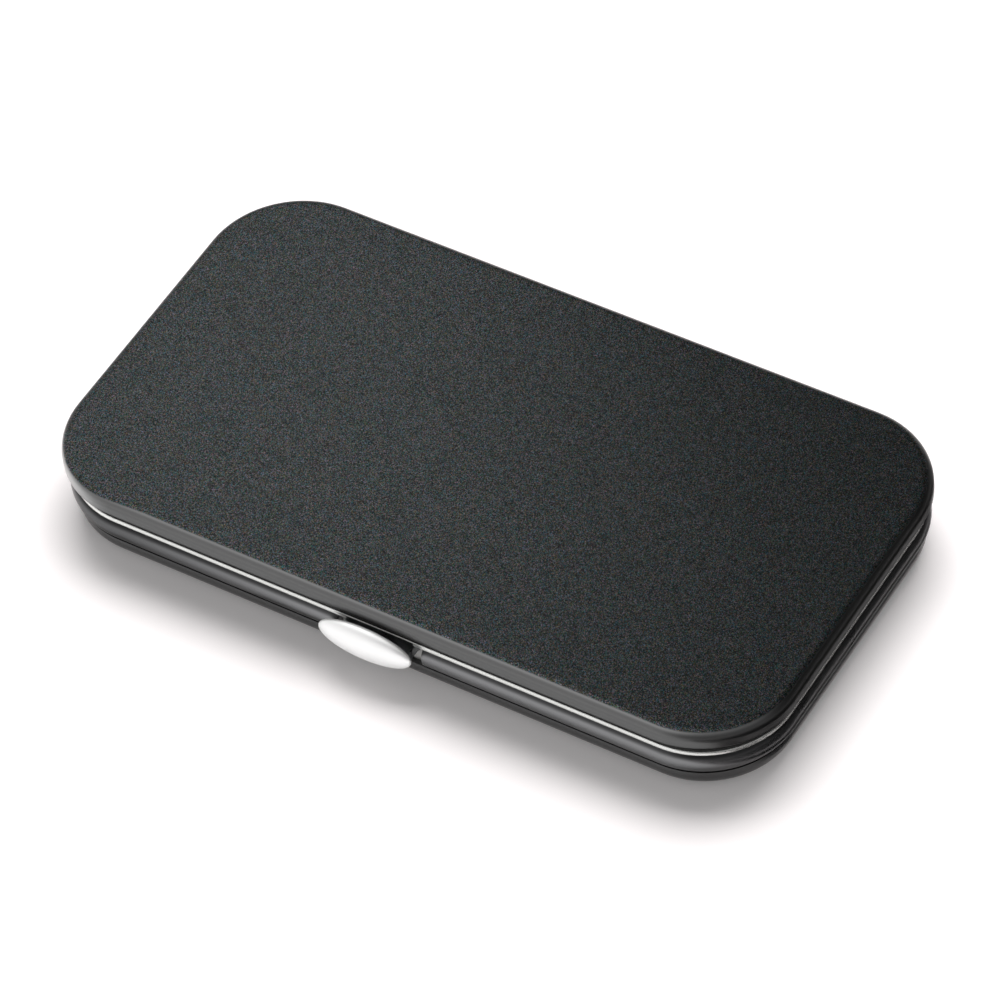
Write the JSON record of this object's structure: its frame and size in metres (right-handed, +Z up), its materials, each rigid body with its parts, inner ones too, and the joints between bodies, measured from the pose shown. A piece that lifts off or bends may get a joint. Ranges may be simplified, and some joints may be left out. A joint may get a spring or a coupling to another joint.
{
  "type": "manicure set case",
  "caption": "Slim hinged metal case for a manicure set, with a push button latch at the front and grooming tools lying in a foam tray.",
  "frame": {"origin": "middle of the flat underside, on the table", "axes": "+X along the case's length, -Y towards the button, +Z up through the lid"},
  "size_m": [0.1168, 0.0679, 0.013],
  "materials": {
    "black_coated_metal": "satin",
    "black_lacquered_frame": "satin",
    "chrome_frame": "polished",
    "gloss_black_band": "gloss",
    "plated_steel": "satin",
    "spring_steel": "satin",
    "polished_button": "polished",
    "flocked_foam": "matte",
    "lining_cloth": "matte",
    "tool_steel": "satin",
    "handle_plastic": "matte"
  },
  "bodies": {
    "base": {"bottom_cover": "black_coated_metal", "lower_frame": "chrome_frame", "side_band_left": "gloss_black_band", "side_band_right": "gloss_black_band", "foam_tray": "flocked_foam", "latch_guide": "plated_steel", "latch_guide_rivets": "plated_steel", "latch_spring": "spring_steel", "base_hinge_leaf": "plated_steel", "base_hinge_rivets": "plated_steel", "hinge_pin": "plated_steel", "scissor_half_lower": "tool_steel", "scissor_half_upper": "tool_steel", "scissor_screw": "tool_steel", "tweezer_arm_lower": "tool_steel", "tweezer_arm_upper": "tool_steel", "nail_file_blade": "tool_steel", "nail_file_handle": "handle_plastic", "cuticle_pusher": "tool_steel", "clipper_jaw_lower": "tool_steel", "clipper_jaw_upper": "tool_steel", "clipper_lever": "tool_steel", "clipper_post": "tool_steel", "clipper_rivet": "tool_steel"},
    "lid": {"top_cover": "black_coated_metal", "upper_frame": "black_lacquered_frame", "lid_lining": "lining_cloth", "lid_hinge_leaf": "plated_steel", "lid_hinge_rivets": "plated_steel", "latch_striker": "plated_steel", "striker_rivets": "plated_steel"},
    "latch_button": {"button_cap": "polished_button", "button_slider": "plated_steel"}
  },
  "joints": [
    {"name": "lid_hinge", "type": "hinge", "parent": "base", "child": "lid", "pos_m": [0, 0.032, 0.00845], "axis": [-1, 0, 0], "range_deg": [0, 180]},
    {"name": "button_press", "type": "slide", "parent": "base", "child": "latch_button", "axis": [0, 1, 0], "range_m": [0, 0.0012], "stiffness_N_per_m": 300, "springref_m": -0.003, "deforming": ["latch_spring"]}
  ]
}
